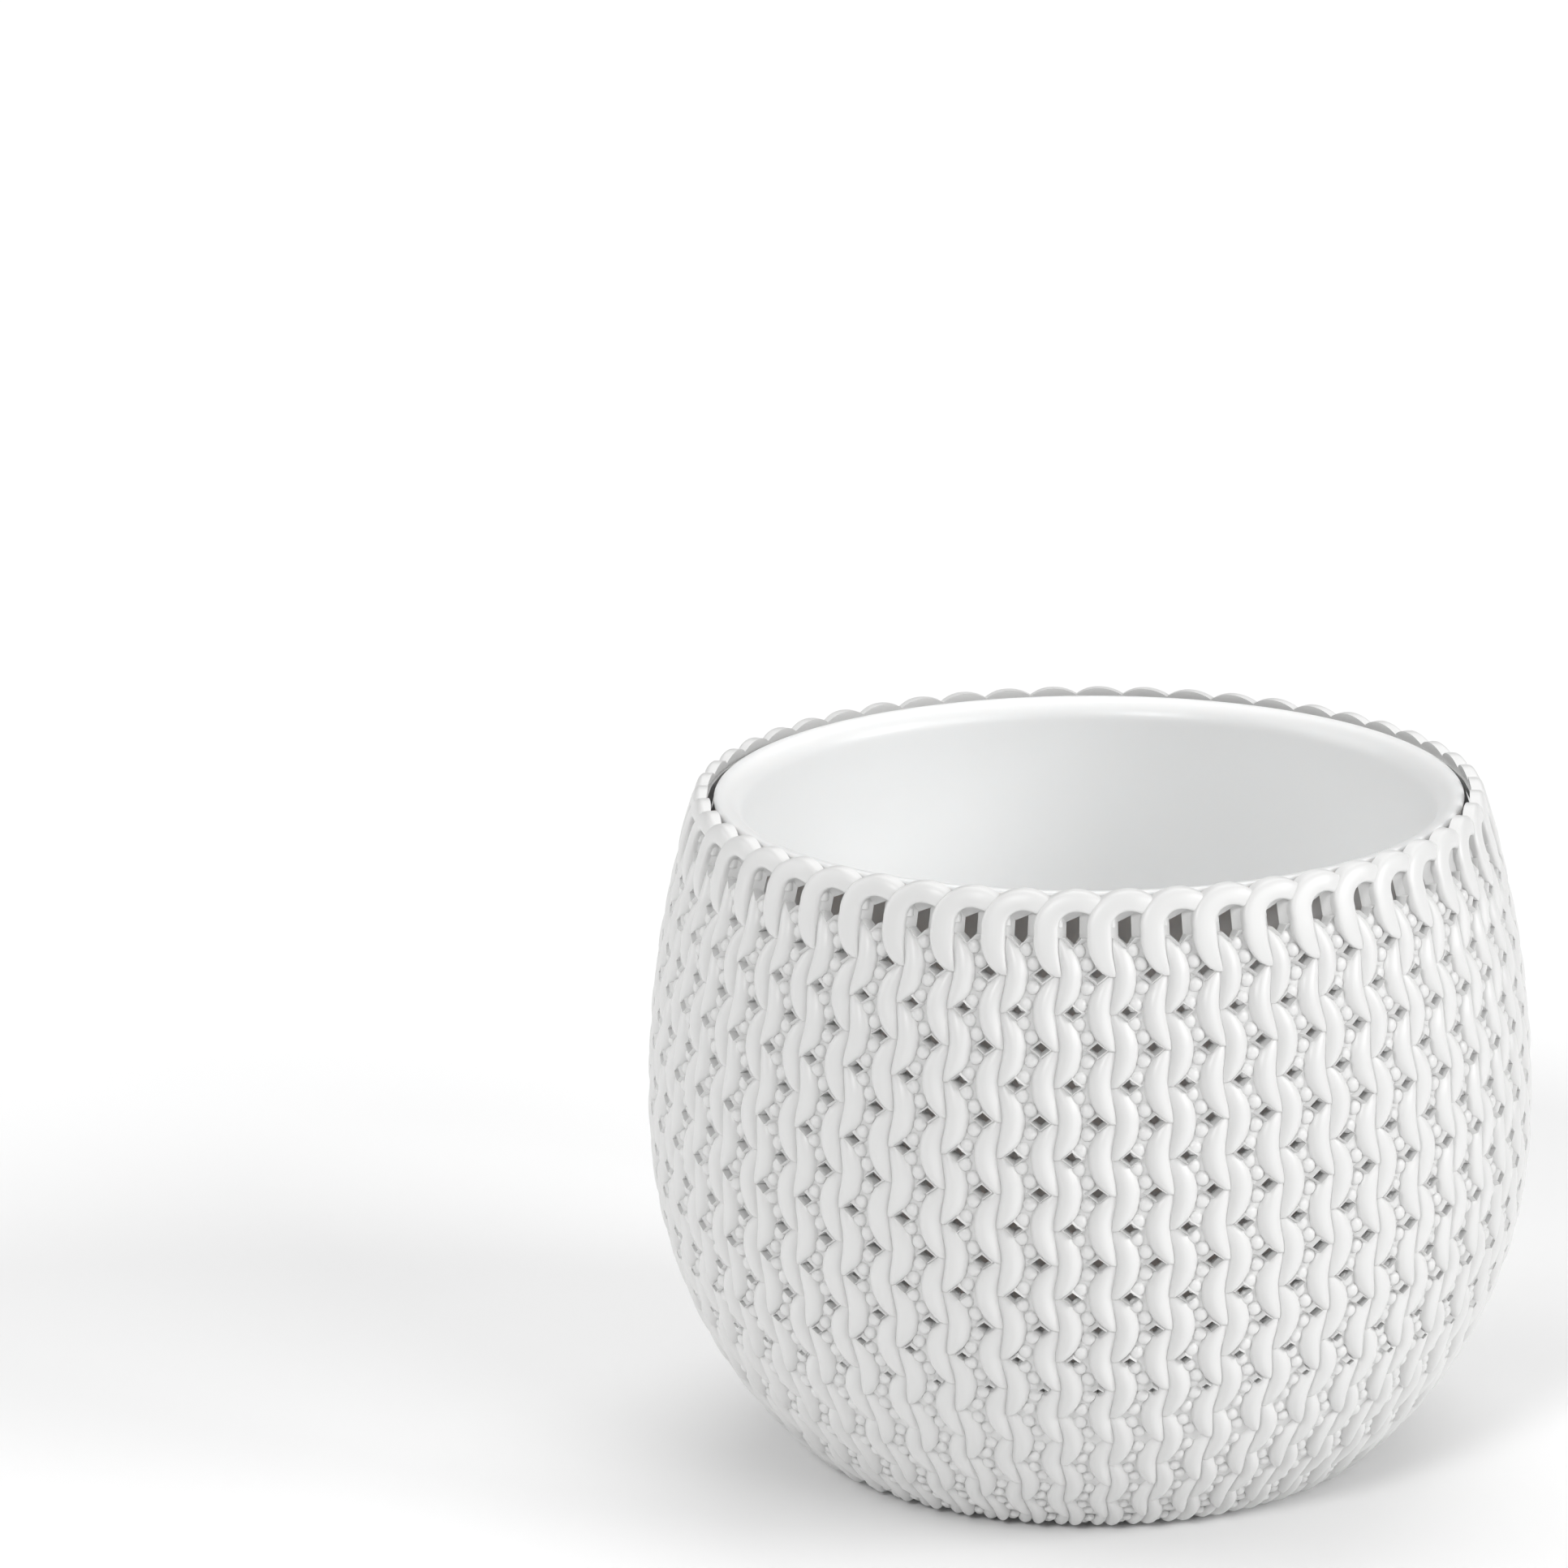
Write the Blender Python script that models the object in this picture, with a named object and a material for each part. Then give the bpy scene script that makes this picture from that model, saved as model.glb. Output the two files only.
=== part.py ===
"""Round plastic planter: an openwork outer pot that looks knitted, and a smooth liner that lifts out of it.

Blender 4.5, metres, +Z up. The origin is the middle of the flat base. The outer pot has 50 columns of stitches
around it; column 0 faces -Y. Each column ends in a loop at the rim, with a window under it.
"""
import math

import bmesh
import bpy

# Outer pot, driving dimensions
BELLY_RADIUS = 0.120        # widest radius, over the crests of the columns
BELLY_HEIGHT = 0.0953       # height of the widest place
UPPER_AXIS = 0.1836         # vertical semi-axis of the ellipse above the belly
LOWER_AXIS = 0.1212         # vertical semi-axis of the superellipse below the belly
LOWER_POWER = 2.1           # its exponent
COLUMNS = 50                # knitted columns around the pot
FLUTE_DEPTH = 0.0015        # how far the wall dips between two columns
WALL = 0.0044               # wall, from the column crests to the smooth inside
BASE_RADIUS = 0.0745        # flat ring that the pot stands on
BASE_ROUND = 0.0024         # height over which the base rounds into the wall
FLOOR = 0.0030              # thickness of the outer pot's floor
BODY_ROWS = 12              # rows of faces from the base to the rim band

# Rim band: loops with a window under each
BAND_BOTTOM = 0.1660        # where the rows for the windows start
WINDOW_BOTTOM = 0.1698
WINDOW_TOP = 0.1784
INNER_WINDOW_BOTTOM = 0.1693
INNER_WINDOW_TOP = 0.1757
RIM_HEIGHT = 0.1819         # mean height of the scalloped top edge
SCALLOP = 0.0014            # half of the height between a crest and a dip of that edge
CREST_PHASE = 0.33          # where the loop is highest, in columns from the column's middle
OUTER_PHASES = (0.04, 0.33, 0.62, 0.83)     # window edge, crest, window edge, dip
INNER_PHASES = (0.19, 0.33, 0.47, 0.83)     # the window narrows towards the inside
WINDOW_SPANS = (0, 1)       # the spans between phases that the window takes

# Liner
GAP = 0.0003                # clearance between the two pots where they meet
LINER_WALL = 0.0022
LINER_FLOOR = 0.0025
LINER_FOOT_RADIUS = 0.0700  # flat underside
LINER_CORNER_RADIUS = 0.0765
LINER_CORNER_HEIGHT = 0.0100
LINER_NECK_RADIUS = 0.0952  # outside of the wall, just under the lip
LIP_RADIUS = 0.1004
LIP_TOP = 0.1817
LIP_UNDERSIDE = 0.1775
LIP_EDGE = 0.0011           # rounding of the lip's outer edge
LIP_INNER_ROUND = 0.0060    # rounding of the lip into the inside of the liner
LINER_SIDES = 60
ARC_STEPS = 4               # faces on each rounding of the lip


def outer_radius(height):
    """Outside of the pot: an ellipse above the belly and a superellipse below it."""
    rise = height - BELLY_HEIGHT
    if rise > 0:
        return BELLY_RADIUS * math.sqrt(1 - (rise / UPPER_AXIS) ** 2)
    return BELLY_RADIUS * (1 - (-rise / LOWER_AXIS) ** LOWER_POWER) ** (1 / LOWER_POWER)


def rim_height(phase):
    """Height of the scalloped top edge at a place within a column."""
    return RIM_HEIGHT + SCALLOP * math.cos(2 * math.pi * (phase - CREST_PHASE))


def ring(mesh, phases, radii, heights):
    """A closed row of vertices: the given phases, radii and heights, repeated for each column."""
    row = []
    for column in range(COLUMNS):
        for phase, radius, height in zip(phases, radii, heights):
            angle = 2 * math.pi * (column + phase) / COLUMNS
            row.append(mesh.verts.new((radius * math.sin(angle), -radius * math.cos(angle), height)))
    return row


def join_rows(mesh, low, high, skip=()):
    """Faces that look outwards between two rows of the same length, leaving out some spans of each column."""
    count = len(low)
    per_column = count // COLUMNS
    for i in range(count):
        if i % per_column not in skip:
            j = (i + 1) % count
            mesh.faces.new((low[i], low[j], high[j], high[i]))


def join_double_row(mesh, single, double, upwards=True):
    """Faces from a row to one with twice as many vertices."""
    count = len(single)
    for i in range(count):
        j = (i + 1) % count
        corners = [single[i], single[j], double[2 * j], double[2 * i + 1], double[2 * i]]
        mesh.faces.new(corners if upwards else corners[::-1])


def line_window(mesh, outer_low, outer_high, inner_low, inner_high):
    """The sill, head and sides of every window, from the outside of the wall to its inside."""
    per_column = len(OUTER_PHASES)
    for column in range(COLUMNS):
        first = column * per_column + WINDOW_SPANS[0]
        last = column * per_column + WINDOW_SPANS[-1] + 1
        for i in range(first, last):
            mesh.faces.new((outer_low[i], outer_low[i + 1], inner_low[i + 1], inner_low[i]))
            mesh.faces.new((outer_high[i + 1], outer_high[i], inner_high[i], inner_high[i + 1]))
        mesh.faces.new((outer_high[first], outer_low[first], inner_low[first], inner_high[first]))
        mesh.faces.new((outer_low[last], outer_high[last], inner_high[last], inner_low[last]))


def outer_rows(mesh):
    """The fluted outside, from the base ring up to the rim band."""
    phases = (0.0, 0.5)
    base = (BASE_RADIUS, BASE_RADIUS - FLUTE_DEPTH)
    rows = [ring(mesh, phases, base, (0.0, 0.0))]
    for i in range(BODY_ROWS):
        share = (i / (BODY_ROWS - 1)) ** 1.3
        height = BASE_ROUND + (BAND_BOTTOM - BASE_ROUND) * share
        radius = outer_radius(height)
        rows.append(ring(mesh, phases, (radius, radius - FLUTE_DEPTH), (height, height)))
    return rows


def inner_rows(mesh):
    """The smooth inside, from the rim band down to the floor."""
    rows = []
    count = BODY_ROWS // 2
    for i in range(count):
        share = (i / (count - 1)) ** 1.3
        height = FLOOR + (BAND_BOTTOM - FLOOR) * share
        radius = outer_radius(height) - WALL
        rows.append(ring(mesh, (0.0, 0.5), (radius, radius), (height, height)))
    return rows


def band_rows(mesh, phases, heights, offset):
    """The rows of the rim band on one side of the wall; the last one is the scalloped top edge."""
    rows = []
    for height in heights:
        radius = outer_radius(height) - offset
        rows.append(ring(mesh, phases, [radius] * len(phases), [height] * len(phases)))
    tops = [rim_height(phase) for phase in phases]
    rows.append(ring(mesh, phases, [outer_radius(top) - offset for top in tops], tops))
    return rows


def make_outer_pot():
    """One closed shell: fluted outside, rim band with windows, smooth inside, floor and base."""
    mesh = bmesh.new()
    outside = outer_rows(mesh)
    for low, high in zip(outside, outside[1:]):
        join_rows(mesh, low, high)
    outer_band = band_rows(mesh, OUTER_PHASES, (WINDOW_BOTTOM, WINDOW_TOP), 0.0)
    inner_band = band_rows(mesh, INNER_PHASES, (INNER_WINDOW_BOTTOM, INNER_WINDOW_TOP), WALL)
    join_double_row(mesh, outside[-1], outer_band[0])
    join_rows(mesh, outer_band[0], outer_band[1], skip=WINDOW_SPANS)
    join_rows(mesh, outer_band[1], outer_band[2])
    join_rows(mesh, outer_band[2], inner_band[2])
    join_rows(mesh, inner_band[2], inner_band[1])
    join_rows(mesh, inner_band[1], inner_band[0], skip=WINDOW_SPANS)
    line_window(mesh, outer_band[0], outer_band[1], inner_band[0], inner_band[1])
    inside = inner_rows(mesh)
    join_double_row(mesh, inside[-1], inner_band[0], upwards=False)
    for low, high in zip(inside, inside[1:]):
        join_rows(mesh, high, low)
    mesh.faces.new(outside[0][::-1])
    mesh.faces.new(inside[0])
    return add_object("outer_pot", mesh)


def arc(centre_r, centre_z, size_r, size_z, start, end):
    """Points of an elliptical arc in the profile plane; angles in quarter turns from the outward direction."""
    points = []
    for i in range(ARC_STEPS + 1):
        angle = math.pi / 2 * (start + (end - start) * i / ARC_STEPS)
        points.append((centre_r + size_r * math.cos(angle), centre_z + size_z * math.sin(angle)))
    return points


def liner_profile():
    """Outline of the liner's half section, from the middle of its underside round to the middle of its floor."""
    underside = FLOOR + GAP
    neck_inside = LINER_NECK_RADIUS - LINER_WALL
    profile = [(0.0, underside), (LINER_FOOT_RADIUS, underside)]
    profile.append((LINER_CORNER_RADIUS, LINER_CORNER_HEIGHT))
    profile.append((LINER_NECK_RADIUS, LIP_UNDERSIDE))
    profile.append((LIP_RADIUS - LIP_EDGE / 2, LIP_UNDERSIDE))
    profile += arc(LIP_RADIUS - LIP_EDGE, LIP_TOP - LIP_EDGE, LIP_EDGE, LIP_EDGE, 0, 1)
    profile += arc(neck_inside + LIP_INNER_ROUND, LIP_TOP - LIP_INNER_ROUND, LIP_INNER_ROUND, LIP_INNER_ROUND, 1, 2)
    profile.append((LINER_CORNER_RADIUS - LINER_WALL, LINER_CORNER_HEIGHT + LINER_FLOOR))
    profile.append((LINER_FOOT_RADIUS - LINER_WALL, underside + LINER_FLOOR))
    profile.append((0.0, underside + LINER_FLOOR))
    return profile


def make_liner_pot():
    """The turned liner, a tapered pot with a rounded lip."""
    mesh = bmesh.new()
    profile = liner_profile()
    rows = []
    for radius, height in profile[1:-1]:
        row = []
        for i in range(LINER_SIDES):
            angle = 2 * math.pi * i / LINER_SIDES
            row.append(mesh.verts.new((radius * math.sin(angle), -radius * math.cos(angle), height)))
        rows.append(row)
    for low, high in zip(rows, rows[1:]):
        for i in range(LINER_SIDES):
            j = (i + 1) % LINER_SIDES
            mesh.faces.new((low[i], low[j], high[j], high[i]))
    mesh.faces.new(rows[0][::-1])
    mesh.faces.new(rows[-1])
    return add_object("liner_pot", mesh)


def add_object(name, mesh):
    """Turn a bmesh into a smooth-shaded object at the origin."""
    data = bpy.data.meshes.new(name)
    mesh.to_mesh(data)
    mesh.free()
    data.shade_smooth()
    data.set_sharp_from_angle(angle=math.radians(30))
    obj = bpy.data.objects.new(name, data)
    bpy.context.scene.collection.objects.link(obj)
    return obj


def white_plastic(name, colour, roughness):
    """Moulded plastic."""
    material = bpy.data.materials.new(name)
    material.use_nodes = True
    shader = material.node_tree.nodes["Principled BSDF"]
    shader.inputs["Base Color"].default_value = (*colour, 1.0)
    shader.inputs["Roughness"].default_value = roughness
    shader.inputs["Metallic"].default_value = 0.0
    return material


for old in list(bpy.data.objects):
    bpy.data.objects.remove(old, do_unlink=True)

outer_pot = make_outer_pot()
outer_pot.data.materials.append(white_plastic("white_satin_plastic", (0.84, 0.84, 0.83), 0.42))
liner_pot = make_liner_pot()
liner_pot.data.materials.append(white_plastic("white_gloss_plastic", (0.86, 0.86, 0.85), 0.30))
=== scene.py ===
"""Looks of the knitted planter: a white openwork outer pot and the smooth liner that stands in it.

Places on the outer pot's wall have three coordinates: a column (0 to 50 around the pot, column 0 facing -Y, a
whole number in the middle of a column of stitches), a distance in metres down the wall from the first row of
left-hand holes, and a level, which is metres out from the strands' crests and so negative inside the wall.
"""
import math

import bmesh
import bpy
import numpy as np
from mathutils import Matrix, Vector


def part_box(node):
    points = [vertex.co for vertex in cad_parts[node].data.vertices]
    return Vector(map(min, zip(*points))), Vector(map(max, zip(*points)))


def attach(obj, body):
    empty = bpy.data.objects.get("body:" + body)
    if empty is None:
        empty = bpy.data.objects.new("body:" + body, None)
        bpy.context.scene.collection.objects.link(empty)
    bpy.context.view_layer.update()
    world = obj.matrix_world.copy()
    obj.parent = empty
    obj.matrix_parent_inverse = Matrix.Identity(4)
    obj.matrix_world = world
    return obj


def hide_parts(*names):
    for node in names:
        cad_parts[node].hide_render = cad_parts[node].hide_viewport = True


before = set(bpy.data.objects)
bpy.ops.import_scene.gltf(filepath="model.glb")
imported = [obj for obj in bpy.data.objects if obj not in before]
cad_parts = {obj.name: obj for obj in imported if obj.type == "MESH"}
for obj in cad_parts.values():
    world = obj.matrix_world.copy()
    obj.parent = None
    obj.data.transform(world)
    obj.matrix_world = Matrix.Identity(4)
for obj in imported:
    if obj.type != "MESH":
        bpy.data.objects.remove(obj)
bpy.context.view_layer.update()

# Outer pot
POT_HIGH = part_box("outer_pot")[1]
BELLY_RADIUS = POT_HIGH.y       # widest radius, over the crests of the strands
BELLY_HEIGHT = 0.0953
UPPER_AXIS = 0.1836             # vertical semi-axis of the ellipse above the belly
LOWER_AXIS = 0.1212             # vertical semi-axis of the superellipse below the belly
LOWER_POWER = 2.1
BASE_RADIUS = 0.0745            # flat base
BASE_ROUND = 0.0024             # height over which the base rounds into the wall
BASE_DRAW = 0.0030              # how far the wall draws in towards the corner of that rounding
BASE_INSET = 0.001              # how far inside the flat base's edge the rounding ends
COLUMNS = 50
STITCH = 0.01884                # one stitch, measured down the wall
FIRST_NOTCH = 0.1629            # height of the first row of left-hand holes
NOTCH = 0.278                   # how far a hole sits from the middle of its column, in columns
WALL = 0.0044                   # from the crests to the smooth inside of the wall
BED = 0.0030                    # depth of the ground between the strands
ROOT = 0.0003                   # how far strands and beads reach into the ground
RELIEF_POWER = 0.7              # how strongly the relief follows the pot's girth
ROWS = 20                       # rows of holes, half a stitch apart, from below the windows to the base
FLOOR_HEIGHT = 0.0030           # height of the floor inside
FLOOR_RADIUS = 0.0725           # its flat part, wider than the liner's foot
UNDERSIDE = ((0.0655, 0.0014), (0.0640, 0.0))       # radii and heights of the underside's low rounded edge

# The table that the wall's outline is read from
TABLE_ABOVE = 0.004             # how far it reaches above the rim
TABLE_STEP = 0.0002             # distance between its rows
TABLE_SMOOTHING = 8             # rows to either side that a normal is averaged over

# Strands: the two legs of each stitch
STRAND_WIDTH = 0.465            # how far a leg reaches from the middle of the column, in columns
STRAND_POWER = 0.65             # roundness of its outline at the upper end
STRAND_BLUNT = 0.50             # the same for its lower end
STRAND_SWAY = 0.045             # how far the crease between two legs sways to either side
STRAND_OVERLAP = 0.024          # how far a leg reaches past the crease
STRAND_START, STRAND_END = -0.06, 1.04      # in stitches from the leg's first notch
STRAND_TUCK = 0.72              # share of its height at a leg's upper end, which tucks under the leg above
STRAND_HEAD, STRAND_TOE = 0.50, 0.22        # powers of the rise from its upper and from its lower end
STRAND_DOME = 1.8               # power of the superellipse across a leg
STRAND_ACROSS, STRAND_ALONG = 11, 15        # points of the mesh

# Beads: the purl bumps that show between two columns; column, stitch and side that each leans to
BEADS = ((0.545, 0.160, -1), (0.410, 0.401, -1), (0.382, 0.650, 1), (0.542, 0.845, 1))
BEAD_LENGTH, BEAD_WIDTH = 0.00218, 0.00198  # half-axes
BEAD_TOP = 0.00165              # depth of a bead's top
BEAD_DOME = 0.85                # power of the dome's section, below 1 for a flatter top
BEAD_LEAN = math.radians(33)
BEAD_SIDES, BEAD_RINGS = 10, 4
FIRST_BEAD, LAST_BEAD = -0.40, ROWS / 2 - 0.55      # stitches that the beads stay between

# Holes
HOLE_WIDTH, HOLE_HEIGHT = 0.00255, 0.00195   # half-axes of the mouth
HOLE_TAPER = 0.82               # the hole's size on the inside of the wall, as a share of the mouth
HOLE_DEPTH = 0.00095            # depth of the mouth
HOLE_COLLAR = 1.45              # foot of the collar, as a share of the mouth
HOLE_SLANT = 0.8                # steepest way of a hole through the wall, against the wall's normal
HOLES_SHRINK, HOLES_CLOSE = 0.080, 0.040    # heights between which the holes shrink, going down
HOLE_LEAST = 0.35               # size of the smallest open hole, as a share of the full size
HOLE_LAST = 0.12                # share of the way between those heights below which a hole is closed
CLOSED_FOOT, CLOSED_INNER = 0.5, 0.4        # sizes of a closed hole's flat patch, outside and inside

# Rim
LOOP_SPRING = 0.1743            # height at which a loop starts to bend
LOOP_TOP = 0.1808               # middle of the band where the loop is highest
LOOP_CREST = 0.33               # where that is, in columns from the column's middle
LOOP_LEG = -0.235               # middle of a loop's leg
LOOP_LEG_WIDTH = 0.235          # half the leg's width, in columns
LOOP_BAND = 0.0025              # half the width of the band
LOOP_TAIL = 0.57                # reach of the bend down to the next column
LOOP_CROWN = 0.0013             # height of the band's rounded front over its straight sides
LOOP_DOME = 2.8                 # power of the superellipse of that front
LOOP_THINNING = 0.0008          # how much thinner the wall is at the top of a loop than under the windows
LOOP_FOOT, LOOP_JOINT = 1.035, 0.42         # lower and upper end of a loop's leg, in stitches
LOOP_TOE = 0.30                 # power of the rise from the leg's lower end
LOOP_TOE_DROP = 0.001           # how much deeper that end lies
LOOP_SINK = 0.0017              # how far the tail dives under the next loop
LOOP_SINK_START = 0.1           # where it starts to, in columns past the crest
LOOP_DRIFT = 0.00025            # how far a loop's back comes forward along it, so that no two share a plane
LOOP_LEG_STEPS, LOOP_BEND_STEPS, LOOP_ACROSS = 12, 21, 11   # points of the mesh
WINDOW_LEFT, WINDOW_RIGHT = 0.0, 0.60       # sides of a window, in columns
WINDOW_HEAD = 0.1786
SILL_HEIGHT = 0.1718            # the window's lower corners, and the ends of the V-shaped notch between them
SILL_TIP = 0.1697               # the notch's tip
SILL_LEFT, SILL_RIGHT = 0.125, 0.43
SILL_DROP = 0.0012              # how far below its sill the ground under a window starts
SILL_FOOT_LEFT, SILL_FOOT_RIGHT = 0.02, 0.54
POST_LEVEL = -0.0020            # level of the front of the posts between the windows
SILL_LEVEL, TIP_LEVEL = -0.0012, -0.0010    # levels of the notch's ends and of its tip
BACK_LEFT, BACK_RIGHT = 0.138, 0.392        # the window's narrower sides on the inside of the wall
BACK_TIP = 0.304
HEAD_DROP_LEFT, HEAD_DROP_RIGHT = 0.0036, 0.0022    # how much lower the window's head is there
BACK_SILL_DROP, BACK_TIP_DROP = 0.0004, 0.0002      # how much lower its lower corners and tip are there
LINTEL = 0.0012                 # height of the wall over a window

# Liner
LINER_LOW, LINER_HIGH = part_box("liner_pot")
LINER_WALL = 0.0022
LINER_FLOOR = 0.0025
LINER_FOOT = 0.0700             # radius of the flat underside
LINER_CORNER, LINER_CORNER_HEIGHT = 0.0765, 0.0100  # where the rounding above the foot ends
LINER_FOOT_SHARES = (0.3, 0.55, 0.8)        # points of that rounding, as shares of its width
LINER_NECK = 0.0952             # radius just under the lip
LIP_EDGE, LIP_EDGE_STEPS = 0.0011, 6        # rounding of the lip's outer edge
LIP_BRIM, LIP_BRIM_STEPS = 0.0060, 12       # rounding of the lip into the inside
LIP_DEPTH = 0.0042              # height of the lip's edge
LINER_SIDES = 200

# Plastic: the darkest and lightest tone of the outer pot and of the liner
SATIN_COLOURS = (0.705, 0.705, 0.70), (0.735, 0.735, 0.73)
SMOOTH_COLOURS = (0.82, 0.82, 0.815), (0.85, 0.85, 0.845)

# Camera
CAMERA_AIM = 0.0924             # height of the point that it is set up around
CAMERA_AZIMUTH, CAMERA_ELEVATION, CAMERA_DISTANCE = -3.15, 18.08, 1.7676
CAMERA_YAW, CAMERA_PITCH = -2.684, 2.835    # how far it is then turned away from that point, in degrees
CAMERA_SENSOR, CAMERA_LENS = 36.0, 149.05   # mm

# Ground
GROUND_REACH = 6.0
GROUND_GAP = 0.0003             # between the ground and the base

# Lights: where each shines from, how wide it looks in degrees, and its strength
DOME_LIGHT = 0.08
LIGHTS = (
    ("key_light", (-0.50, -1.0, 0.77), 14, 1.02),
    ("front_light", (0.85, -1.0, 0.60), 24, 0.70),
    ("top_light", (0.0, 0.0, 1.0), 60, 0.85),
    ("back_light", (0.2, 0.8, 1.0), 50, 0.90),
    ("right_light", (1.0, -0.35, 0.48), 25, 1.38),
    ("left_light", (-1.0, 0.15, 0.50), 42, 0.90),
)


def outer_radius(height):
    """Radius over the crests: an ellipse above the belly and a superellipse below it."""
    rise = np.asarray(height, float) - BELLY_HEIGHT
    upper = np.sqrt(np.clip(1 - (rise / UPPER_AXIS) ** 2, 0, 1))
    lower = np.clip(1 - (np.abs(rise) / LOWER_AXIS) ** LOWER_POWER, 0, 1) ** (1 / LOWER_POWER)
    return BELLY_RADIUS * np.where(rise > 0, upper, lower)


def wall_table():
    """The wall's outline from the rim to the middle of the base: distances, radii, heights and normals."""
    heights = np.linspace(POT_HIGH.z + TABLE_ABOVE, BASE_ROUND, 1500)
    radii = outer_radius(heights)
    turn = np.linspace(0, 1, 40)[1:, None]
    start = np.array([radii[-1], BASE_ROUND])
    corner = np.array([radii[-1] - BASE_DRAW, 0.0])
    end = np.array([BASE_RADIUS - BASE_INSET, 0.0])
    bend = (1 - turn) ** 2 * start + 2 * turn * (1 - turn) * corner + turn ** 2 * end
    flat = np.linspace(end[0], 0.0, 300)[1:]
    radii = np.concatenate([radii, bend[:, 0], flat])
    heights = np.concatenate([heights, bend[:, 1], 0 * flat])
    distances = np.concatenate([[0], np.cumsum(np.hypot(np.diff(radii), np.diff(heights)))])
    even = np.arange(0, distances[-1], TABLE_STEP)
    radii, heights = np.interp(even, distances, radii), np.interp(even, distances, heights)
    window = np.ones(2 * TABLE_SMOOTHING + 1)
    slope_r, slope_z = [np.convolve(np.pad(np.gradient(a), TABLE_SMOOTHING, "edge"), window, "valid")
                        for a in (radii, heights)]
    size = np.hypot(slope_r, slope_z)
    first = np.interp(-FIRST_NOTCH, -heights, even)
    return even - first, radii, heights, -slope_z / size, slope_r / size


DOWN, RADII, HEIGHTS, NORMAL_R, NORMAL_Z = wall_table()


def around(column, radius, height):
    """Points in metres from columns, radii and heights, which are arrays of one shape."""
    angle = 2 * math.pi * np.asarray(column) / COLUMNS
    return np.stack([radius * np.sin(angle), -radius * np.cos(angle), height + 0 * angle], -1)


def on_wall(column, down, level):
    """Points in metres from wall coordinates, which are arrays of one shape."""
    radius = np.interp(down, DOWN, RADII) + level * np.interp(down, DOWN, NORMAL_R)
    height = np.interp(down, DOWN, HEIGHTS) + level * np.interp(down, DOWN, NORMAL_Z)
    return around(column, radius, np.maximum(height, 0.0))


def column_width(down):
    """Width in metres of one column at a place on the wall."""
    return 2 * math.pi * np.interp(down, DOWN, RADII) / COLUMNS


def relief(down):
    """Depth of the relief, which shrinks a little with the pot's girth."""
    return (np.interp(down, DOWN, RADII) / BELLY_RADIUS) ** RELIEF_POWER


def add_piece(name, points, faces, body, node, material, sharp=45):
    """A smooth-shaded mesh that rides on a body and stands for a CAD node."""
    mesh = bpy.data.meshes.new(name)
    corners = np.asarray(points, float).reshape(-1, 3).tolist()
    mesh.from_pydata(corners, [], [list(map(int, face)) for face in faces])
    shell = bmesh.new()
    shell.from_mesh(mesh)
    bmesh.ops.recalc_face_normals(shell, faces=shell.faces)
    shell.to_mesh(mesh)
    shell.free()
    mesh.shade_smooth()
    mesh.set_sharp_from_angle(angle=math.radians(sharp))
    piece = bpy.data.objects.new(name, mesh)
    bpy.context.scene.collection.objects.link(piece)
    mesh.materials.append(material)
    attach(piece, body)
    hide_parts(node)
    return piece


def repeat(faces, copies, points):
    """The faces of one shape, repeated for every copy of its points."""
    return [[v + points * i for v in face] for i in range(copies) for face in faces]


# ---- strands ----

def strand_shape():
    """One left-hand leg of a stitch: column, stitch and height share of its points, and its faces."""
    along = (1 - np.cos(math.pi * np.linspace(0, 1, STRAND_ALONG))) / 2
    across = (1 - np.cos(math.pi * np.linspace(0, 1, STRAND_ACROSS))) / 2
    dome = (1 - np.abs(2 * across - 1) ** STRAND_DOME) ** (1 / STRAND_DOME)
    columns, stitches, heights = [0.0], [STRAND_START], [0.0]
    for q in along[1:-1]:
        wave = math.sin(math.pi * q)
        left = -STRAND_WIDTH * wave ** (STRAND_POWER if q < 0.5 else STRAND_BLUNT)
        stitch = STRAND_START + (STRAND_END - STRAND_START) * q
        right = STRAND_SWAY * math.cos(2 * math.pi * stitch) + STRAND_OVERLAP
        rise = wave ** (STRAND_HEAD if q <= 0.5 else STRAND_TOE) * (STRAND_TUCK + (1 - STRAND_TUCK) * q)
        for v, d in zip(across, dome):
            columns.append(left + (right - left) * v)
            stitches.append(stitch)
            heights.append(d * rise)
    columns.append(0.0)
    stitches.append(STRAND_END)
    heights.append(0.0)
    rows, last, n = STRAND_ALONG - 2, len(columns) - 1, STRAND_ACROSS
    faces = [(0, 1 + j, 2 + j) for j in range(n - 1)] + [(0, n, 1)]
    for i in range(rows - 1):
        a, b = 1 + i * n, 1 + (i + 1) * n
        faces += [(a + j, b + j, b + j + 1, a + j + 1) for j in range(n - 1)]
        faces.append((a, a + n - 1, b + n - 1, b))
    a = 1 + (rows - 1) * n
    faces += [(a + j, last, a + j + 1) for j in range(n - 1)] + [(a, a + n - 1, last)]
    return np.array(columns), np.array(stitches), np.array(heights), faces


def make_strands(name, side, material):
    """Every left-hand (side -1) or right-hand (side 1) leg below the rim."""
    columns, stitches, heights, faces = strand_shape()
    first = 0.0 if side < 0 else -0.5
    starts = np.arange(first, ROWS / 2, 1.0)
    column = np.arange(COLUMNS)[:, None, None] - side * columns
    down = (starts[None, :, None] + stitches) * STITCH
    column, down = np.broadcast_arrays(column, down)
    depth = (BED + ROOT) * relief(down)
    points = on_wall(column, down, depth * (heights - 1))
    if side > 0:
        faces = [f[::-1] for f in faces]
    copies = COLUMNS * len(starts)
    return add_piece(name, points, repeat(faces, copies, len(columns)), "outer", "outer_pot",
                     material, 60)


# ---- beads ----

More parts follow.
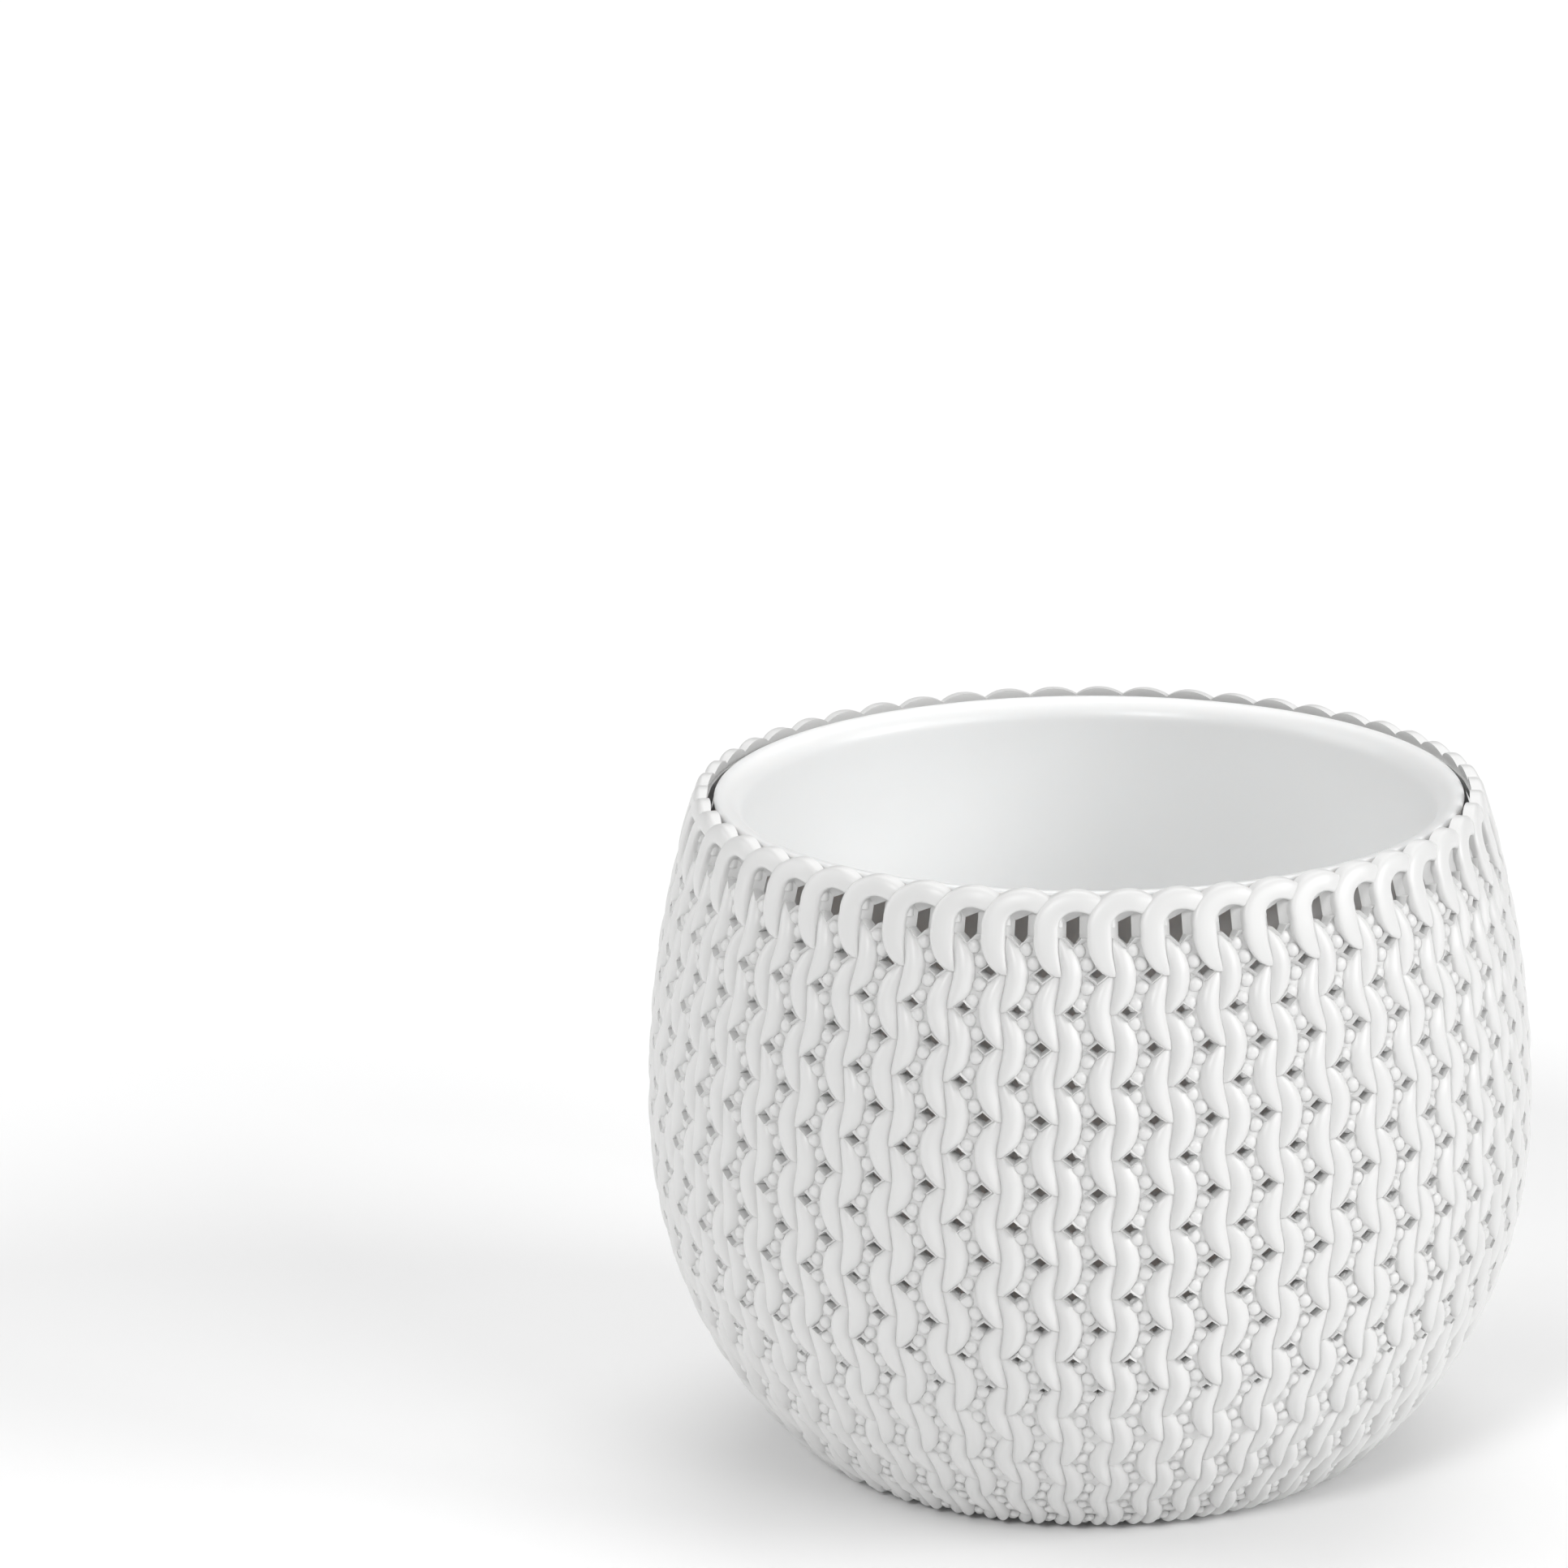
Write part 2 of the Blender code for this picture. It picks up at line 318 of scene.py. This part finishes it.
def bead_shape():
    """A closed flattened dome of unit size: places along and across, heights, and faces."""
    along, across, heights = [], [], []
    for ring in range(BEAD_RINGS):
        rise = math.pi / 2 * ring / BEAD_RINGS
        for i in range(BEAD_SIDES):
            angle = 2 * math.pi * i / BEAD_SIDES
            along.append(math.cos(rise) ** BEAD_DOME * math.cos(angle))
            across.append(math.cos(rise) ** BEAD_DOME * math.sin(angle))
            heights.append(math.sin(rise) ** BEAD_DOME)
    top = len(along)
    faces = [tuple(range(BEAD_SIDES))]
    for ring in range(BEAD_RINGS - 1):
        for i in range(BEAD_SIDES):
            j = (i + 1) % BEAD_SIDES
            a, b = ring * BEAD_SIDES, (ring + 1) * BEAD_SIDES
            faces.append((a + j, a + i, b + i, b + j))
    a = (BEAD_RINGS - 1) * BEAD_SIDES
    faces += [(a + (i + 1) % BEAD_SIDES, a + i, top) for i in range(BEAD_SIDES)]
    return np.array(along + [0.0]), np.array(across + [0.0]), np.array(heights + [1.0]), faces


def make_beads(material):
    """The purl bumps, in zigzags between the columns."""
    along, across, heights, faces = bead_shape()
    points = []
    copies = 0
    for stitch in range(-1, ROWS // 2):
        for column, place, lean in BEADS:
            if not FIRST_BEAD <= stitch + place <= LAST_BEAD:
                continue
            centre = (stitch + place) * STITCH
            size = relief(centre)
            tilt = lean * BEAD_LEAN
            a, b = along * BEAD_LENGTH * size, across * BEAD_WIDTH * size
            down = centre + a * math.cos(tilt) + b * math.sin(tilt)
            sideways = (a * math.sin(tilt) - b * math.cos(tilt)) / column_width(centre)
            base = -(BED + ROOT) * size
            level = base + (-BEAD_TOP * size - base) * heights
            columns = np.arange(COLUMNS)[:, None] + column + sideways
            columns, down, level = np.broadcast_arrays(columns, down, level)
            points.append(on_wall(columns, down, level).reshape(-1, 3))
            copies += COLUMNS
    return add_piece("purl_beads", np.concatenate(points), repeat(faces, copies, len(along)), "outer",
                     "outer_pot", material, 60)


# ---- wall ----

class Wall:
    """The ground that the strands lie on: a lattice of collared holes, windows, smooth inside and base."""

    def __init__(self):
        self.points = []
        self.faces = []

    def add(self, column, down, level):
        self.points.append(on_wall(column, down, level))
        return len(self.points) - 1

    def add_high(self, column, height, level):
        """A point of the rim, whose level is measured level with the ground."""
        self.points.append(around(column, float(outer_radius(height)) + level, height))
        return len(self.points) - 1

    def add_ring(self, radius, height):
        """A row of points below the last holes: one in line with each of them and one halfway to the next."""
        first = len(self.points)
        self.points += list(around(row_phase(ROWS) + np.arange(2 * COLUMNS) / 2, radius, height))
        return range(first, len(self.points))

    def face(self, *corners):
        if len(set(corners)) > 2:
            self.faces.append(corners)

    def lattice_faces(self, hole, up, low, beside, inside):
        """The ground right of a hole, to its neighbours up and low on that side and beside it."""
        quads = [(hole["B"], low["L"], low["T"], hole["R"])]
        if up:
            quads.append((hole["R"], up["B"], up["L"], hole["T"]))
            quads.append((hole["R"], low["T"], beside["L"], up["B"]))
        else:
            quads.append((hole["R"], low["T"], beside["L"]))
        for quad in quads:
            self.face(*(quad[::-1] if inside else quad))

    def join_last_row(self, rows, ring, inside):
        """Faces from the last row of holes to a ring made by add_ring."""
        for column in range(COLUMNS):
            beside = (column + 1) % COLUMNS
            hole, after, up = rows[-1][column], rows[-1][beside], rows[-2][beside]
            i, j, k = 2 * column, 2 * column + 1, (2 * column + 2) % len(ring)
            for quad in ((hole["R"], up["B"], up["L"], hole["T"]),
                         (hole["R"], ring[j], after["L"], up["B"]),
                         (hole["B"], ring[i], ring[j], hole["R"]),
                         (after["L"], ring[j], ring[k], after["B"])):
                self.face(*(quad[::-1] if inside else quad))


def row_phase(row):
    """Where a row's holes are, in columns from the columns' middles: left in odd rows, right in even ones."""
    return NOTCH if row % 2 == 0 else -NOTCH


def hole_share(height):
    """Size of the holes at a height, as a share of the full size; 0 where the wall is closed."""
    share = (height - HOLES_CLOSE) / (HOLES_SHRINK - HOLES_CLOSE)
    return 0.0 if share < HOLE_LAST else HOLE_LEAST + (1 - HOLE_LEAST) * min(1.0, share)


def add_hole(wall, column, down):
    """A diamond hole with a raised collar, level through the wall; returns its foot and its inner edge.

    Near the base, where there are no holes, these are the corners of flat patches.
    """
    corners = {"L": (-1, 0), "B": (0, 1), "R": (1, 0), "T": (0, -1)}
    share = hole_share(float(np.interp(down, DOWN, HEIGHTS)))
    size, width = float(relief(down)), float(column_width(down))

    def diamond(scale, level, rise=0.0):
        return {k: wall.add(column + x * scale * HOLE_WIDTH * size / width,
                            down - rise + y * scale * HOLE_HEIGHT * size, level)
                for k, (x, y) in corners.items()}

    order = "LBRT"
    if not share:
        foot, inner = diamond(CLOSED_FOOT, -BED * size), diamond(CLOSED_INNER, -WALL)
        wall.face(*(foot[k] for k in order))
        wall.face(*(inner[k] for k in order[::-1]))
        return foot, inner
    slant = float(np.interp(down, DOWN, NORMAL_Z) / np.interp(down, DOWN, NORMAL_R))
    rise = max(-HOLE_SLANT, min(HOLE_SLANT, slant)) * (WALL - HOLE_DEPTH * size)
    foot = diamond(HOLE_COLLAR * share, -BED * size)
    mouth = diamond(share, -HOLE_DEPTH * size)
    inner = diamond(HOLE_TAPER * share, -WALL, rise)
    for a, b in zip(order, order[1:] + order[0]):
        wall.face(foot[b], foot[a], mouth[a], mouth[b])
        wall.face(mouth[b], mouth[a], inner[a], inner[b])
    return foot, inner


def add_window(wall, column):
    """The window under a loop: its notched sill and its lining; returns the edges that the ground meets."""
    mouth = [(WINDOW_LEFT, WINDOW_HEAD, POST_LEVEL), (WINDOW_LEFT, SILL_HEIGHT, POST_LEVEL),
             (SILL_LEFT, SILL_HEIGHT, SILL_LEVEL), (NOTCH, SILL_TIP, TIP_LEVEL),
             (SILL_RIGHT, SILL_HEIGHT, SILL_LEVEL),
             (WINDOW_RIGHT, SILL_HEIGHT, POST_LEVEL), (WINDOW_RIGHT, WINDOW_HEAD, POST_LEVEL)]
    inner = [(BACK_LEFT, WINDOW_HEAD - HEAD_DROP_LEFT), (BACK_LEFT, SILL_HEIGHT - BACK_SILL_DROP),
             (BACK_TIP, SILL_TIP - BACK_TIP_DROP),
             (BACK_RIGHT, SILL_HEIGHT - BACK_SILL_DROP), (BACK_RIGHT, WINDOW_HEAD - HEAD_DROP_RIGHT)]
    ground = [(SILL_FOOT_LEFT, SILL_HEIGHT - SILL_DROP), (NOTCH, SILL_TIP - SILL_DROP),
              (SILL_FOOT_RIGHT, SILL_HEIGHT - SILL_DROP)]
    edge = [wall.add_high(column + x, z, level) for x, z, level in mouth]
    back = [wall.add_high(column + x, z, -WALL) for x, z in inner]
    foot = [wall.add_high(column + x, z, -BED) for x, z in ground]
    for outer, here, there in ((0, 0, 1), (2, 1, 2), (3, 2, 3), (5, 3, 4)):
        wall.face(edge[outer + 1], edge[outer], back[here], back[there])
    wall.face(edge[2], edge[1], back[1])
    wall.face(edge[5], edge[4], back[3])
    wall.face(edge[0], edge[6], back[4], back[0])
    wall.face(foot[0], edge[1], edge[2])
    wall.face(foot[0], edge[2], edge[3], foot[1])
    wall.face(foot[1], edge[3], edge[4], foot[2])
    wall.face(foot[2], edge[4], edge[5])
    return {"foot": foot, "edge": edge, "back": back}


def make_wall(material):
    """The whole wall as one closed shell."""
    wall = Wall()
    windows = [add_window(wall, column) for column in range(COLUMNS)]
    outer_rows = [[dict(zip("LBR", w["foot"]), T=w["edge"][1]) for w in windows]]
    inner_rows = [[dict(zip("LBR", w["back"][1:4]), T=w["back"][0]) for w in windows]]
    for row in range(1, ROWS + 1):
        down = (row - 1) * STITCH / 2
        holes = [add_hole(wall, column + row_phase(row), down) for column in range(COLUMNS)]
        outer_rows.append([h[0] for h in holes])
        inner_rows.append([h[1] for h in holes])
    for rows, inside in ((outer_rows, False), (inner_rows, True)):
        for row in range(ROWS):
            shift = 1 if row % 2 == 0 else 0
            for column in range(COLUMNS):
                right = (column + shift) % COLUMNS
                beside = (column + 1) % COLUMNS
                up = rows[row - 1][right] if row else None
                wall.lattice_faces(rows[row][column], up, rows[row + 1][right], rows[row][beside], inside)
    add_rim(wall, windows)
    add_base(wall, outer_rows, inner_rows)
    return add_piece("outer_wall", wall.points, wall.faces, "outer", "outer_pot",
                     material, 30)


def add_rim(wall, windows):
    """Posts between the windows and the lintel over them, hidden in the loops."""
    head = WINDOW_HEAD + LINTEL
    outer = [[wall.add_high(column + x, head, POST_LEVEL) for x in (WINDOW_LEFT, WINDOW_RIGHT)]
             for column in range(COLUMNS)]
    inner = [[wall.add_high(column + x, head, -WALL) for x in (BACK_LEFT, BACK_RIGHT)]
             for column in range(COLUMNS)]
    for column in range(COLUMNS):
        here, there = windows[column], windows[(column + 1) % COLUMNS]
        a, b = outer[column], outer[(column + 1) % COLUMNS]
        c, d = inner[column], inner[(column + 1) % COLUMNS]
        wall.face(here["edge"][0], here["edge"][6], a[1], a[0])
        wall.face(here["edge"][6], there["edge"][0], b[0], a[1])
        wall.face(here["edge"][5], there["edge"][1], there["edge"][0], here["edge"][6])
        wall.face(here["foot"][2], there["foot"][0], there["edge"][1], here["edge"][5])
        wall.face(here["back"][4], here["back"][0], c[0], c[1])
        wall.face(there["back"][0], here["back"][4], c[1], d[0])
        wall.face(there["back"][1], here["back"][3], here["back"][4], there["back"][0])
        wall.face(a[0], a[1], c[1], c[0])
        wall.face(a[1], b[0], d[0], c[1])


def add_base(wall, outer_rows, inner_rows):
    """The underside, a flat disc with a low rounded edge inside the last strands, and the floor inside."""
    edge, disc = [wall.add_ring(radius, height) for radius, height in UNDERSIDE]
    wall.join_last_row(outer_rows, edge, False)
    for i in range(len(edge)):
        j = (i + 1) % len(edge)
        wall.face(edge[i], disc[i], disc[j], edge[j])
    wall.face(*disc[::-1])
    floor = wall.add_ring(FLOOR_RADIUS, FLOOR_HEIGHT)
    wall.join_last_row(inner_rows, floor, True)
    wall.face(*floor)


# ---- rim loops ----

def loop_stations():
    """Both edges of one loop, as columns and heights, with the crown's share of its height and its level."""
    width = float(2 * math.pi * outer_radius(LOOP_TOP) / COLUMNS)
    stations = []
    for t in np.linspace(LOOP_FOOT, LOOP_JOINT, LOOP_LEG_STEPS):
        down = (t - 1) * STITCH
        height = float(np.interp(down, DOWN, HEIGHTS))
        wave = math.sin(math.pi * min(max((t - STRAND_START) / (STRAND_END - STRAND_START), 0), 1))
        left = min(LOOP_LEG_WIDTH - LOOP_LEG, STRAND_WIDTH * wave ** STRAND_BLUNT)
        right = LOOP_LEG + LOOP_LEG_WIDTH
        crease = STRAND_SWAY * math.cos(2 * math.pi * t) + STRAND_OVERLAP
        right += (crease - right) * max(0.0, min(1.0, 2 * t - 1))
        stations.append((-left, height, right, height, min(1.0, wave) ** LOOP_TOE, 0.0))
    rise = LOOP_TOP - LOOP_SPRING
    reach = LOOP_CREST - LOOP_LEG
    for angle in np.linspace(0, math.pi, LOOP_BEND_STEPS):
        side = reach if angle < math.pi / 2 else LOOP_TAIL
        x, z = LOOP_CREST - side * math.cos(angle), LOOP_SPRING + rise * math.sin(angle)
        slope = np.array([side * width * math.sin(angle), rise * math.cos(angle)])
        slope /= np.hypot(*slope)
        across = np.array([-slope[1], slope[0]])
        band = LOOP_BAND + (LOOP_LEG_WIDTH * width - LOOP_BAND) * max(0.0, math.cos(angle)) ** 2
        left, right = across * band, -across * band
        past = (x - LOOP_CREST - LOOP_SINK_START) / (LOOP_TAIL - LOOP_SINK_START)
        sink = -LOOP_SINK * max(0.0, past) ** 1.5
        stations.append((x + left[0] / width, z + left[1], x + right[0] / width, z + right[1], 1.0, sink))
    return stations


def make_loops(material):
    """The fifty loops of the rim, each a band with a flat inner face and a round crown."""
    across = (1 - np.cos(np.linspace(0, math.pi, LOOP_ACROSS))) / 2
    dome = (1 - np.abs(2 * across - 1) ** LOOP_DOME) ** (1 / LOOP_DOME)
    stations = loop_stations()
    n = len(across) + 2
    points = []
    for i, (x0, z0, x1, z1, crown, sink) in enumerate(stations):
        drift = LOOP_DRIFT * i / len(stations)
        for v, level in [(0.0, None)] + list(zip(across, dome)) + [(1.0, None)]:
            x, z = x0 + (x1 - x0) * v, z0 + (z1 - z0) * v
            if level is None:
                share = max(0.0, (z - SILL_TIP) / (LOOP_TOP + LOOP_BAND - SILL_TIP))
                offset = -WALL + drift + LOOP_THINNING * share
            else:
                offset = sink - LOOP_CROWN + LOOP_CROWN * level * crown - (1 - crown) * LOOP_TOE_DROP
            points.append((x, z, offset))
    faces = [tuple(range(n)), tuple(range((len(stations) - 1) * n, len(stations) * n))[::-1]]
    for i in range(len(stations) - 1):
        for j in range(n):
            k = (j + 1) % n
            faces.append((i * n + k, i * n + j, (i + 1) * n + j, (i + 1) * n + k))
    x, z, offset = np.array(points).T
    placed = around(np.arange(COLUMNS)[:, None] + x, outer_radius(z) + offset, z)
    return add_piece("rim_loops", placed, repeat(faces, COLUMNS, len(points)), "outer", "outer_pot",
                     material, 50)


# ---- liner ----

def round_corner(centre, size, start, end, steps):
    """Points of an arc in the profile plane; angles in quarter turns from the outward direction."""
    points = []
    for i in range(steps + 1):
        angle = math.pi / 2 * (start + (end - start) * i / steps)
        points.append((centre[0] + size * math.cos(angle), centre[1] + size * math.sin(angle)))
    return points


def liner_profile():
    """Outline of the liner's half section from the middle of its underside to the middle of its floor."""
    lip, top, low = LINER_HIGH.y, LINER_HIGH.z, LINER_LOW.z
    bend, rise = LINER_CORNER - LINER_FOOT, LINER_CORNER_HEIGHT - low
    points = [(0.0, low), (LINER_FOOT, low)]
    points += [(LINER_FOOT + bend * t, low + rise * t ** 2) for t in LINER_FOOT_SHARES]
    points += [(LINER_CORNER, LINER_CORNER_HEIGHT), (LINER_NECK, top - LIP_DEPTH)]
    points += [(lip - LIP_EDGE / 2, top - LIP_DEPTH)]
    points += round_corner((lip - LIP_EDGE, top - LIP_EDGE), LIP_EDGE, 0, 1, LIP_EDGE_STEPS)
    brim = LINER_NECK - LINER_WALL + LIP_BRIM, top - LIP_BRIM
    points += round_corner(brim, LIP_BRIM, 1, 2, LIP_BRIM_STEPS)
    points += [(LINER_CORNER - LINER_WALL, LINER_CORNER_HEIGHT + LINER_FLOOR)]
    points += [(LINER_FOOT - LINER_WALL + bend * t, low + LINER_FLOOR + rise * t ** 2)
               for t in (*LINER_FOOT_SHARES[::-1], 0.0)]
    points.append((0.0, low + LINER_FLOOR))
    return points


def make_liner(material):
    """The turned liner."""
    profile = np.array(liner_profile()[1:-1])
    angle = 2 * math.pi * np.arange(LINER_SIDES) / LINER_SIDES
    radius, height = profile[:, :1], profile[:, 1:]
    points = np.stack([radius * np.sin(angle), -radius * np.cos(angle), height + 0 * angle], -1)
    faces = []
    for row in range(len(profile) - 1):
        for i in range(LINER_SIDES):
            j = (i + 1) % LINER_SIDES
            a, b = row * LINER_SIDES, (row + 1) * LINER_SIDES
            faces.append((a + i, a + j, b + j, b + i))
    faces.append(tuple(range(LINER_SIDES))[::-1])
    faces.append(tuple(range((len(profile) - 1) * LINER_SIDES, len(profile) * LINER_SIDES)))
    return add_piece("liner", points, faces, "liner", "liner_pot", material, 30)


# ---- materials ----

def plastic(name, colours, roughness, grain, grain_depth, glow):
    """White moulded plastic: a faint drift of tone, a satin sheen that varies, and a fine moulded grain.

    Its glow is how much light passes into it and out again, as in a thin, slightly translucent wall.
    """
    material = bpy.data.materials.new(name)
    material.use_nodes = True
    nodes, links = material.node_tree.nodes, material.node_tree.links
    shader = nodes["Principled BSDF"]
    place = nodes.new("ShaderNodeTexCoord")
    cloud = nodes.new("ShaderNodeTexNoise")
    cloud.inputs["Scale"].default_value = 14.0
    cloud.inputs["Detail"].default_value = 3.0
    links.new(place.outputs["Object"], cloud.inputs["Vector"])
    tone = nodes.new("ShaderNodeMix")
    tone.data_type = "RGBA"
    tone.inputs["A"].default_value = (*colours[0], 1.0)
    tone.inputs["B"].default_value = (*colours[1], 1.0)
    links.new(cloud.outputs["Fac"], tone.inputs["Factor"])
    links.new(tone.outputs["Result"], shader.inputs["Base Color"])
    fine = nodes.new("ShaderNodeTexNoise")
    fine.inputs["Scale"].default_value = grain
    fine.inputs["Detail"].default_value = 2.0
    links.new(place.outputs["Object"], fine.inputs["Vector"])
    sheen = nodes.new("ShaderNodeMapRange")
    sheen.inputs["To Min"].default_value = roughness[0]
    sheen.inputs["To Max"].default_value = roughness[1]
    links.new(fine.outputs["Fac"], sheen.inputs["Value"])
    links.new(sheen.outputs["Result"], shader.inputs["Roughness"])
    bump = nodes.new("ShaderNodeBump")
    bump.inputs["Strength"].default_value = 0.25
    bump.inputs["Distance"].default_value = grain_depth
    links.new(fine.outputs["Fac"], bump.inputs["Height"])
    links.new(bump.outputs["Normal"], shader.inputs["Normal"])
    shader.inputs["IOR"].default_value = 1.49
    shader.inputs["Subsurface Weight"].default_value = glow
    shader.inputs["Subsurface Scale"].default_value = 0.006
    shader.inputs["Subsurface Radius"].default_value = (1.0, 0.9, 0.85)
    return material


# ---- stage ----

def make_stage():
    """A pale floor, a faint dome of light and soft, distant lamps all round."""
    mesh = bpy.data.meshes.new("floor")
    r = GROUND_REACH
    mesh.from_pydata([(-r, -r, 0), (r, -r, 0), (r, r, 0), (-r, r, 0)], [], [(0, 1, 2, 3)])
    floor = bpy.data.objects.new("floor", mesh)
    floor.location.z = -GROUND_GAP
    bpy.context.scene.collection.objects.link(floor)
    paint = bpy.data.materials.new("floor_paint")
    paint.use_nodes = True
    shader = paint.node_tree.nodes["Principled BSDF"]
    noise = paint.node_tree.nodes.new("ShaderNodeTexNoise")
    noise.inputs["Scale"].default_value = 3.0
    ramp = paint.node_tree.nodes.new("ShaderNodeValToRGB")
    ramp.color_ramp.elements[0].color = (0.90, 0.90, 0.90, 1)
    ramp.color_ramp.elements[1].color = (0.93, 0.93, 0.93, 1)
    paint.node_tree.links.new(noise.outputs["Fac"], ramp.inputs["Fac"])
    paint.node_tree.links.new(ramp.outputs["Color"], shader.inputs["Base Color"])
    shader.inputs["Roughness"].default_value = 0.9
    mesh.materials.append(paint)

    world = bpy.data.worlds.new("studio")
    bpy.context.scene.world = world
    world.use_nodes = True
    background = world.node_tree.nodes["Background"]
    background.inputs["Color"].default_value = (1.0, 1.0, 1.0, 1.0)
    background.inputs["Strength"].default_value = DOME_LIGHT

    for name, place, angle, strength in LIGHTS:
        add_light(name, place, angle, strength)
    bpy.context.scene.view_settings.view_transform = "Standard"


def add_light(name, place, angle, strength):
    """A distant lamp, as soft as a large softbox, that shines from a place towards the pot."""
    lamp = bpy.data.lights.new(name, "SUN")
    lamp.angle = math.radians(angle)
    lamp.energy = strength
    light = bpy.data.objects.new(name, lamp)
    light.location = place
    light.rotation_euler = (-Vector(place)).to_track_quat("-Z", "Y").to_euler()
    bpy.context.scene.collection.objects.link(light)


def make_camera():
    """The photograph's viewpoint: from a little above, aimed so that the pot sits low and to the right."""
    azimuth, elevation = math.radians(CAMERA_AZIMUTH), math.radians(CAMERA_ELEVATION)
    yaw, pitch = math.radians(CAMERA_YAW), math.radians(CAMERA_PITCH)
    back = Vector((math.sin(azimuth) * math.cos(elevation), -math.cos(azimuth) * math.cos(elevation),
                   math.sin(elevation)))
    right = Vector((math.cos(azimuth), math.sin(azimuth), 0.0))
    up = back.cross(right)
    forward = (-back * math.cos(yaw) + right * math.sin(yaw)) * math.cos(pitch) + up * math.sin(pitch)
    side = right * math.cos(yaw) + back * math.sin(yaw)
    top = side.cross(forward)
    data = bpy.data.cameras.new("camera")
    data.sensor_width = CAMERA_SENSOR
    data.lens = CAMERA_LENS
    camera = bpy.data.objects.new("camera", data)
    turn = Matrix((side, top, -forward)).transposed()
    place = Vector((0, 0, CAMERA_AIM)) + back * CAMERA_DISTANCE
    camera.matrix_world = Matrix.Translation(place) @ turn.to_4x4()
    bpy.context.scene.collection.objects.link(camera)
    bpy.context.scene.camera = camera


make_camera()
make_stage()
satin = plastic("satin_white", SATIN_COLOURS, roughness=(0.30, 0.42), grain=1400.0, grain_depth=0.00004,
                glow=0.0)
smooth = plastic("smooth_white", SMOOTH_COLOURS, roughness=(0.30, 0.40), grain=900.0, grain_depth=0.00003,
                 glow=0.5)
make_wall(satin)
make_strands("stitches_left", -1, satin)
make_strands("stitches_right", 1, satin)
make_beads(satin)
make_loops(satin)
make_liner(smooth)

bpy.context.view_layer.update()
